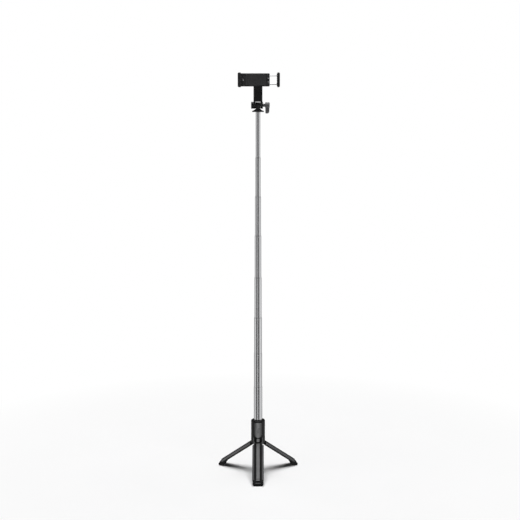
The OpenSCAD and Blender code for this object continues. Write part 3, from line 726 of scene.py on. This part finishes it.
def leg_mesh():
    shell = prism(leg_outline(COLLAR_R, 9.95, 56, 1.3), -(LEG_LEN - 13), -3.4, 0.2, 0.24)
    kn = [(10.2, -6.2), (14.35, -6.2), (14.35, -3.2)]
    for k in range(13):
        t = rad(12 + (180 - 12) * k / 12)
        kn.append((HINGE_R + 2.1 * math.cos(t), 2.1 * math.sin(t)))
    kn.append((10.2, -3.2))
    knuckle = turned(prism(kn, -3.85, 3.85, 0.3, 0.3), Matrix(((1, 0, 0, 0), (0, 0, -1, 0), (0, 1, 0, 0), (0, 0, 0, 1))))
    bore = turned(lathe([(0, -6), (1.04, -6), (1.04, 6), (0, 6)], 32), Matrix.Translation((HINGE_R, 0, 0)) @ Matrix.Rotation(rad(90), 4, "X"))
    return combine(shell, ("UNION", knuckle), ("DIFFERENCE", bore))

def paint_leg_light_and_shade(o, inv):
    """Painted light and shade: the centre strip and the side faces take paler copies of the black plastic, standing in
    for light falling on them, and the grooves a darker copy for the shade in them.
    """
    for p in o.data.polygons:
        c = inv @ p.center
        r, a = math.hypot(c.x, c.y), math.degrees(math.atan2(c.y, c.x))
        k = 0
        if c.z < -3.5 and r > COLLAR_R - 0.28:
            k = 1 if abs(a) < 16.2 else (0 if abs(a) < 35.5 else 2)
        elif c.z < -3.5 and r > COLLAR_R - 1.5 and 15 < abs(a) < 29.5:
            k = 3
        p.material_index = k

leg_proto = leg_mesh()
proto = bpy.data.meshes.new("leg_proto")
leg_proto.to_mesh(proto)
leg_proto.free()
LEGS = {"front": 270, "left": 150, "right": 30}
for nm, a in LEGS.items():
    bm = bmesh.new()
    bm.from_mesh(proto)
    mt = leg_matrix(a)
    inv = (S_MM @ UP @ mt).inverted()
    stand_for("leg_" + nm, bm, 34, [M["handle_plastic"], M["trim_plastic"], M["side_painted_light"], M["groove_painted_shade"]], mt,
              fix=lambda o, inv=inv: paint_leg_light_and_shade(o, inv))
bpy.data.meshes.remove(proto)

FOOT_T = -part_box("foot_front")[0].y / MM
def foot_mesh():
    """The rubber cap in the leg's own frame, with its sole, leaning end face and tread; melt gives it its moulded skin
    afterwards.
    """
    cap = prism(leg_outline(COLLAR_R - 0.12, 1.85, 53, 0.9, 1.0, 0.4), -(LEG_LEN + 8), -(LEG_LEN - 13))
    pts = [(5.6 * math.cos(rad(t)), 5.6 * math.sin(rad(t))) for t in range(-47, 48, 6)]
    pts += [(9.9 * math.cos(rad(t)), 9.9 * math.sin(rad(t))) for t in range(47, -48, -6)]
    spigot = prism(pts, -(LEG_LEN - 2), -(LEG_LEN - 17), 0, 0.5)
    back = leg_matrix(0).inverted()
    # the floor and the end face, in the plane of the open leg
    floor_cut = turned(box_mm((-60, -60, -DZ - 60), (160, 60, -DZ)), back)
    end = turned(box_mm((0, -40, -30), (60, 40, 60)), back @ Matrix.Translation((FOOT_T, 0, -DZ)) @ Matrix.Rotation(rad(-14), 4, "Y"))
    ledge = turned(box_mm((-0.8, -40, 6.2), (60, 40, 60)), back @ Matrix.Translation((FOOT_T, 0, -DZ)) @ Matrix.Rotation(rad(-14), 4, "Y"))
    steps = [("UNION", spigot), ("DIFFERENCE", end), ("DIFFERENCE", ledge), ("DIFFERENCE", floor_cut)]
    # tread lines across the sole and two rings round the cap
    for x in (FOOT_T - 3.2, FOOT_T - 5.6):
        steps.append(("DIFFERENCE", turned(box_mm((x - 0.45, -20, -DZ - 1), (x + 0.45, 20, -DZ + 0.55)), back)))
    for z in (-(LEG_LEN - 9.2), -(LEG_LEN - 6.8)):
        outer, inner = [], []
        for t in range(-60, 61, 4):
            outer.append((16 * math.cos(rad(t)), 16 * math.sin(rad(t))))
            inner.append(((COLLAR_R - 0.62) * math.cos(rad(t)), (COLLAR_R - 0.62) * math.sin(rad(t))))
        steps.append(("DIFFERENCE", prism(outer + inner[::-1], z - 0.4, z + 0.4)))
    return combine(cap, *steps)

foot = melt(foot_mesh(), 0.42, 5)
low = -DZ
proto = bpy.data.meshes.new("foot_proto")
foot.to_mesh(proto)
foot.free()
for nm, a in LEGS.items():
    bm = bmesh.new()
    bm.from_mesh(proto)
    mt = leg_matrix(a)
    bmesh.ops.transform(bm, matrix=mt, verts=bm.verts)
    for v in bm.verts:                     # the sole is pressed flat on the floor
        d = v.co.z - low
        if d < 0.35:
            v.co.z = low + max(0.0, (d - 0.12) * 1.52) if d > 0.12 else low
    stand_for("foot_" + nm, bm, 60)
    # the strip's end runs on to the foot, and a moulded bar crosses the end face; both are pale, a painted highlight
    # carrying on the strip's and lighting the end face's top edge
    tip = prism([((COLLAR_R - 0.02) * math.cos(rad(t)), (COLLAR_R - 0.02) * math.sin(rad(t))) for t in range(-15, 16, 3)] +
                [((COLLAR_R - 0.9) * math.cos(rad(t)), (COLLAR_R - 0.9) * math.sin(rad(t))) for t in range(15, -16, -3)],
                -(LEG_LEN - 13) - 3.6, -(LEG_LEN - 13) - 1.5, 0.15, 0.15)
    bar = turned(box_mm((-1.5, -5.2, 5.9), (-0.15, 5.2, 7.3)), leg_matrix(0).inverted() @ Matrix.Translation((FOOT_T, 0, -DZ)) @ Matrix.Rotation(rad(-14), 4, "Y"))
    me = bpy.data.meshes.new("t")
    bar.to_mesh(me)
    bar.free()
    tip.from_mesh(me)
    bpy.data.meshes.remove(me)
    add_object("foot_painted_highlight_" + nm, tip, M["foot_painted_highlight"], BODY["foot_" + nm], 40, 0.0002, 2, 30, slot="foot_rubber", matrix=S_MM @ UP @ mt)
bpy.data.meshes.remove(proto)

# ------------------------------------------------------------------ remote and its button
B_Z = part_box("shutter_button")[0].z / MM - DZ + 6.6
R_LO, R_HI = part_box("remote_front_shell")
R_BOT, R_TOP, R_W = R_LO.z / MM - DZ, R_HI.z / MM - DZ, (R_HI.x - R_LO.x) / MM
def ray_hit(pts, ang):
    """Distance from (0, 0) to a convex outline along a direction."""
    d = Vector((math.cos(ang), math.sin(ang)))
    best = 0
    for i in range(len(pts)):
        a, b = Vector(pts[i - 1]), Vector(pts[i])
        e = b - a
        den = d.x * e.y - d.y * e.x
        if abs(den) < 1e-12:
            continue
        t = (a.x * e.y - a.y * e.x) / den
        u = (a.x * d.y - a.y * d.x) / den
        if t > 0 and -1e-9 <= u <= 1 + 1e-9:
            best = max(best, t)
    return best

def remote_pts():
    w = R_W / 2
    pts = [(w * math.cos(rad(t)), R_BOT + w - B_Z + w * math.sin(rad(t))) for t in range(180, 361, 5)]
    top = R_TOP - B_Z
    pts += [(w - 2.5 + 2.5 * math.cos(rad(t)), top - 2.5 + 2.5 * math.sin(rad(t))) for t in range(0, 91, 10)]
    pts += [(-w + 2.5 + 2.5 * math.cos(rad(t)), top - 2.5 + 2.5 * math.sin(rad(t))) for t in range(90, 181, 10)]
    return pts
def stadium_pts(w, h):
    r, s = w / 2, (h - w) / 2
    return [(r * math.cos(rad(t)), s + r * math.sin(rad(t))) for t in range(0, 181, 6)] + [(r * math.cos(rad(t)), -s + r * math.sin(rad(t))) for t in range(180, 361, 6)]
ANG = [2 * math.pi * k / 144 for k in range(144)]
rp, hp = remote_pts(), stadium_pts(9.3, 12.3)
RO = [ray_hit(rp, t) for t in ANG]
RH = [ray_hit(hp, t) for t in ANG]
REMOTE_R = 15.6
def face_y(r, t, R=REMOTE_R):
    x = r * math.cos(t)
    return -math.sqrt(R * R - x * x)
def ring_yz(rs, ys):
    return [(r * math.cos(t), y, B_Z + r * math.sin(t)) for r, y, t in zip(rs, ys, ANG)]
rings = [ring_yz(RO, [-10.75] * 144)]
q = 0.7
for k in range(5):
    al = math.pi / 2 * k / 4
    rs = [r - q * (1 - math.cos(al)) for r in RO]
    rings.append(ring_yz(rs, [face_y(r, t) + q * (1 - math.sin(al)) for r, t in zip(rs, ANG)]))
EDGE = 1.05                                # width of the dark rim
rings.append(ring_yz([r - EDGE for r in RO], [face_y(r - EDGE, t) for r, t in zip(RO, ANG)]))
steps = 9
for k in range(1, steps + 1):
    f = k / steps
    # a shallow dish round the button, faded out towards the rim
    rs = [(ro - EDGE) * (1 - f) + (rh + 0.25) * f for ro, rh in zip(RO, RH)]
    rings.append(ring_yz(rs, [face_y(r, t) + 0.16 * max(0.0, (f - 0.45) / 0.55) ** 2 for r, t in zip(rs, ANG)]))
rings.append(ring_yz([r + 0.07 for r in RH], [face_y(r, t) + 0.22 for r, t in zip(RH, ANG)]))
rings.append(ring_yz(RH, [face_y(r, t) + 0.38 for r, t in zip(RH, ANG)]))
rings.append(ring_yz(RH, [face_y(r, t) + 1.0 for r, t in zip(RH, ANG)]))
for k in range(1, 5):
    f = k / 4
    rs = [rh * (1 - f) + (ro - 1.1) * f for ro, rh in zip(RO, RH)]
    rings.append(ring_yz(rs, [face_y(r, t) + 1.0 for r, t in zip(rs, ANG)]))
rings.append(ring_yz([r - 1.1 for r in RO], [-10.75] * 144))
def paint_remote(o):
    """A lighter face panel in a dark rim; the panel runs out at the top. The panel's paler middle band is a painted
    highlight.
    """
    for p in o.data.polygons:
        x, z = p.center.x / MM, p.center.z / MM - DZ - B_Z
        k = int((math.atan2(z, x) % (2 * math.pi)) / (2 * math.pi) * 144) % 144
        if p.center.y / MM > -12.5 or math.hypot(x, z) > (RO[k] + RO[(k + 1) % 144]) / 2 - EDGE:
            p.material_index = 1
stand_for("remote_front_shell", loft(rings, closed=True), 34, [M["remote_plastic"], M["handle_plastic"]], fix=paint_remote)

bp, fp = stadium_pts(9.0, 12.0), stadium_pts(10.2, 13.2)
RB = [ray_hit(bp, t) for t in ANG]
RF = [ray_hit(fp, t) for t in ANG]
bm = bmesh.new()
rings = [ring_yz([r * 0.5 for r in RF], [-13.47] * 144), ring_yz([r - 0.1 for r in RF], [-13.47] * 144), ring_yz(RF, [-13.57] * 144), ring_yz(RF, [-14.1 if abs(r * math.cos(t)) < 2 else max(-14.1, face_y(r, t, 14.5)) for r, t in zip(RF, ANG)]),
         ring_yz(RB, [face_y(r, t, 14.5) - 0.02 for r, t in zip(RB, ANG)])]
for k in range(5):
    al = math.pi / 2 * k / 4
    rs = [r - 0.55 * (1 - math.cos(al)) for r in RB]
    rings.append(ring_yz(rs, [face_y(r, t, 15.95) + 0.5 * (1 - math.sin(al)) for r, t in zip(rs, ANG)]))
for f in (0.86, 0.74, 0.6, 0.45, 0.3, 0.15):
    rs = [(r - 0.55) * f for r in RB]
    rings.append(ring_yz(rs, [face_y(r, t, 15.95) + 0.42 * (1 - f) ** 0.8 * min(1.0, (1 - f) * 5) for r, t in zip(rs, ANG)]))
loft(rings, bm=bm)
stand_for("shutter_button", bm, 36)

# ------------------------------------------------------------------ head, arm and lock
refine("head_cap", 0.0003)
bm = cad_copy("tilt_arm")
cut = along_y(rrect_pts(-5.6, TILT_Z + 10.5, 11.2, 18.5, 2.0), -9, -6.3, 0, 0)
bmesh.ops.transform(cut, matrix=S_MM @ UP, verts=cut.verts)
bm = combine(bm, ("DIFFERENCE", cut))
add_object("tilt_arm_body", bm, M["head_plastic"], "arm", 32, 0.0004, 3, 30, ("tilt_arm",), "head_plastic")

# lock knob: a fluted hub and a ribbed lever, moulded in one
K0, K1 = 14.6, 23.7
rings = []
def hub_ring(x, r, flute):
    ring = []
    for k in range(120):
        t = 2 * math.pi * k / 120
        rr = r - flute * max(0.0, math.cos(12 * t)) ** 2
        ring.append((x, rr * math.cos(t), TILT_Z + rr * math.sin(t)))
    return ring
for x, r, f in ((K0, 5.2, 0), (K0 + 0.15, 5.65, 0), (K0 + 0.6, 5.98, 0), (K0 + 1.4, 6.0, 0.12), (K0 + 2.0, 6.0, 0.4), (K1 - 2.4, 6.0, 0.4), (K1 - 1.8, 6.0, 0.1),
                (K1 - 1.0, 5.8, 0), (K1 - 0.3, 5.2, 0), (K1, 4.6, 0), (K1, 3.9, 0), (K1 - 0.35, 3.6, 0), (K1 - 0.35, 0.3, 0)):
    rings.append(hub_ring(x, r, f))
hub = loft(rings)
lever = along_y(fillet([(14.8, TILT_Z + 0.5, 0), (15.05, TILT_Z - 16.5, 1.3), (20.6, TILT_Z - 16.5, 1.6), (22.8, TILT_Z - 13.6, 1.6), (23.4, TILT_Z + 0.5, 0)]), -2.5, 2.5, 0.9, 0.9)
boss = rod_x(3.25, 10.15, 14.9, 0, TILT_Z, 64, 0.25)
steps = [("UNION", lever), ("UNION", boss)]
for k in range(5):                         # grip ribs pressed into both faces of the lever
    z = TILT_Z - 8.2 - k * 1.55
    for s in (-1, 1):
        steps.append(("DIFFERENCE", rod_x(0.42, 16.2, 21.9, s * 2.62, z, 16)))
knob = combine(hub, *steps)
stand_for("lock_knob", melt(knob, 0.2, 3), 60)
stand_for("tilt_screw", rod_x(2.0, -13.4, 20.5, 0, TILT_Z, 40, 0.3), 30)

# ------------------------------------------------------------------ phone clamp
ZB = SWIVEL_Z - 14.5                       # jaws' lower edge
YB = -7.6                                  # clamp's back face
YF = YB - 18.4                             # jaws' front face
PX0, PX1 = GAP_L - 3.0, 23.5
jaw_blk = along_y(rrect_pts(GAP_L - 7.2, ZB, 6.0, 29, 0.9, 2.4), YF, YB, 1.3, 0.9, 5)
plate = along_y(rrect_pts(PX0, ZB + 1.5, PX1 - PX0, 26, 1.8, 0.3), -13.8, YB, 0.25, 0.9, 4)
hollow = along_y(rrect_pts(-32.4, SWIVEL_Z - 11.5, 50.4, 23, 1.0), -20, -9.4)
boss = along_y([(5 * math.cos(rad(t)), SWIVEL_Z + 5 * math.sin(rad(t))) for t in range(0, 360, 8)], -13.8, -9.0)
boss2 = along_y([(-29.6 + 2.6 * math.cos(rad(t)), SWIVEL_Z + 2.6 * math.sin(rad(t))) for t in range(0, 360, 12)], -13.8, -9.0)
steps = [("UNION", plate), ("DIFFERENCE", hollow), ("UNION", boss), ("UNION", boss2)]
for s in (-1, 1):
    steps.append(("DIFFERENCE", rod_x(1.29, 16, 30, -11.6, SWIVEL_Z + s * 8.5, 40)))
# relief pockets in the back, each side of the arm
steps.append(("DIFFERENCE", along_y(rrect_pts(-31, SWIVEL_Z - 9.5, 18.5, 19, 1.6), -8.15, -7.0)))
steps.append(("DIFFERENCE", along_y(rrect_pts(12.5, SWIVEL_Z - 9.5, 8.0, 19, 1.6), -8.15, -7.0)))
# thumb scallops on the fixed jaw's outside
for k in range(4):
    steps.append(("DIFFERENCE", turned(lathe([(0, YF + 3.5), (1.0, YF + 3.5), (1.0, YF + 15.5), (0, YF + 15.5)], 32),
                                       Matrix.Translation((GAP_L - 7.95, 0, SWIVEL_Z - 6.6 + k * 4.4)) @ Matrix(((1, 0, 0, 0), (0, 0, 1, 0), (0, -1, 0, 0), (0, 0, 0, 1))))))
housing = combine(jaw_blk, *steps)
stand_for("clamp_housing", housing, 34, bevel=0.00018, segs=2)

cover = along_y(rrect_pts(GAP_L - 1.15, ZB + 1.5, PX1 - GAP_L + 1.15, 26, 1.8, 0.3), -15.2, -13.8, 0.55, 0)
steps = []
for x, z in ((-29.6, SWIVEL_Z), (20.8, SWIVEL_Z - 3.6), (20.8, SWIVEL_Z + 3.6)):
    steps.append(("DIFFERENCE", rod_y(0.85, -16, -13, x, z, 32)))
    steps.append(("DIFFERENCE", rod_y(1.65, -16, -14.5, x, z, 40)))
steps.append(("DIFFERENCE", along_y(rrect_pts(-25.35, ZB + 3.15, 41.7, 22.7, 2.3), -16, -15.05)))
stand_for("clamp_cover", combine(cover, *steps), 34, bevel=0.00012, segs=2)

def ribbed_pad(x0, z0, w, h, y0, y1, r, pitch):
    """Soft pad with rounded edges and shallow grooves across its face."""
    pad = along_y(rrect_pts(x0, z0, w, h, r), y0, y1, 0.4, 0)
    n = int((w - 3) / pitch)
    st = [("DIFFERENCE", along_y(rrect_pts(x0 + w / 2 + (k - (n - 1) / 2) * pitch - 0.3, z0 + 1.6, 0.6, h - 3.2, 0.28), y0 - 1, y0 + 0.3)) for k in range(n)]
    return combine(pad, *st)
stand_for("back_pad", ribbed_pad(-25, ZB + 3.5, 41, 22, -16.1, -15.06, 2, 3.2), 34)

def jaw_pad(x, d):
    """Rubber facing with five rounded ribs across the phone's side."""
    y0, y1 = YF + 0.6, YF + 10.0
    z0, z1 = ZB + 2, ZB + 27
    prof = []
    n = 60
    for k in range(n + 1):
        z = z0 + (z1 - z0) * k / n
        u = (z - (ZB + 5.9)) / 4.4
        groove = math.exp(-((u - round(u)) / 0.15) ** 2) if -0.5 < u < 4.5 else 0.0
        end = min(1.0, (z - z0) / 0.7, (z1 - z) / 0.7)
        prof.append((0.45 * groove + 0.35 * (1 - math.sqrt(max(0.0, 1 - (1 - end) ** 2))), z))
    rings = []
    for f, e in ((0, 0.4), (0.12, 0.14), (0.4, 0), (0.5, 0), (8.9, 0), (9.0, 0), (9.28, 0.14), (9.4, 0.4)):
        y = y0 + f
        ring = [(x + d * (g * (1 if 0.2 < f < 9.2 else 0.8) + e * 0.9), y, z) for g, z in prof]
        ring += [(x + d * 1.18, y, z1), (x + d * 1.18, y, z0)]
        rings.append(ring)
    return loft(rings)
stand_for("fixed_jaw_pad", jaw_pad(GAP_L, -1), 40)
stand_for("sliding_jaw_pad", jaw_pad(GAP_R, 1), 40)

JX1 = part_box("sliding_jaw")[1].x / MM
jaw = along_y(rrect_pts(GAP_R + 1.2, ZB, JX1 - GAP_R - 1.2, 29, 2.4, 0.5), YF, YB, 1.3, 1.3, 5)
steps = []
for k in range(4):
    steps.append(("DIFFERENCE", turned(lathe([(0, YF + 3.5), (1.0, YF + 3.5), (1.0, YF + 15.5), (0, YF + 15.5)], 32),
                                       Matrix.Translation((JX1 + 0.75, 0, SWIVEL_Z - 6.6 + k * 4.4)) @ Matrix(((1, 0, 0, 0), (0, 0, 1, 0), (0, -1, 0, 0), (0, 0, 0, 1))))))
for s in (-1, 1):                          # small raised collars where the rods enter
    steps.append(("UNION", rod_x(2.1, GAP_R + 0.75, GAP_R + 2.0, -11.6, SWIVEL_Z + s * 8.5, 40, 0.15)))
for s in (-1, 1):
    steps.append(("DIFFERENCE", rod_x(1.25, GAP_R - 2, GAP_R + 4.5, -11.6, SWIVEL_Z + s * 8.5, 40)))
stand_for("sliding_jaw", combine(jaw, *steps), 34, bevel=0.00015, segs=2)

bm = bmesh.new()
for s in (-1, 1):
    t = rod_x(1.25, -19, GAP_R + 4.5, -11.6, SWIVEL_Z + s * 8.5, 48, 0.25)
    me = bpy.data.meshes.new("t")
    t.to_mesh(me)
    t.free()
    bm.from_mesh(me)
    bpy.data.meshes.remove(me)
stand_for("guide_rods", bm, 30)

# ------------------------------------------------------------------ screws
TO_FRONT = Matrix(((1, 0, 0, 0), (0, 0, -1, 0), (0, 1, 0, 0), (0, 0, 0, 1)))   # head faces -Y
TO_BACK = Matrix(((-1, 0, 0, 0), (0, 0, 1, 0), (0, 1, 0, 0), (0, 0, 0, 1)))    # head faces +Y
screw("cover_screws", [(Matrix.Translation((x, -15.12, z)) @ TO_FRONT, 1.55, 0.62, 0.8, 5.1) for x, z in
                       ((-29.6, SWIVEL_Z), (20.8, SWIVEL_Z - 3.6), (20.8, SWIVEL_Z + 3.6))])
screw("collar_screw", [(Matrix.Translation((0, 14.45, 70.5)) @ TO_BACK, 1.55, 0.65, 0.8, 4.6)])
screw("swivel_screw", [(Matrix.Translation((0, -0.6, SWIVEL_Z)) @ TO_BACK, 3.9, 1.75, 2.0, 12.3)])

# ------------------------------------------------------------------ floor
def floor_material():
    k = NT("floor_pale")
    n = k.noise(3.0, 4)
    col = k.ramp(n, [(0.3, (0.93, 0.93, 0.932)), (0.7, (0.955, 0.955, 0.957))])
    k.link(col, k.b.inputs["Base Color"])
    k.b.inputs["Roughness"].default_value = 0.8
    k.b.inputs["Specular IOR Level"].default_value = 0.1
    k.bump(k.noise(260, 3), 0.0001, 0.15)
    # the sweep brightens to the backdrop's white away from the object
    ln = k.node("ShaderNodeVectorMath", operation="LENGTH")
    k.link(k.tc.outputs["Object"], ln.inputs[0])
    far = k.ramp(k.scale(ln.outputs["Value"], 0.5), [(0.12, 0.0), (0.42, 1.0)])
    em = k.node("ShaderNodeEmission")
    em.inputs["Strength"].default_value = 1.0
    mx = k.node("ShaderNodeMixShader")
    k.link(far, mx.inputs[0])
    k.link(k.b.outputs[0], mx.inputs[1])
    k.link(em.outputs[0], mx.inputs[2])
    out = [n for n in k.t.nodes if n.type == "OUTPUT_MATERIAL"][0]
    k.link(mx.outputs[0], out.inputs["Surface"])
    return k.m

bm = bmesh.new()
S = 14.0
cells = 8
grid = [[bm.verts.new((-S / 2 + S * i / cells, -S / 2 + S * j / cells, 0)) for j in range(cells + 1)] for i in range(cells + 1)]
for i in range(cells):
    for j in range(cells):
        bm.faces.new((grid[i][j], grid[i + 1][j], grid[i + 1][j + 1], grid[i][j + 1]))
me = bpy.data.meshes.new("floor")
bm.to_mesh(me)
bm.free()
floor = bpy.data.objects.new("floor", me)
scene.collection.objects.link(floor)
me.materials.append(floor_material())
floor.visible_glossy = False
floor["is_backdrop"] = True

lo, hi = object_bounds()
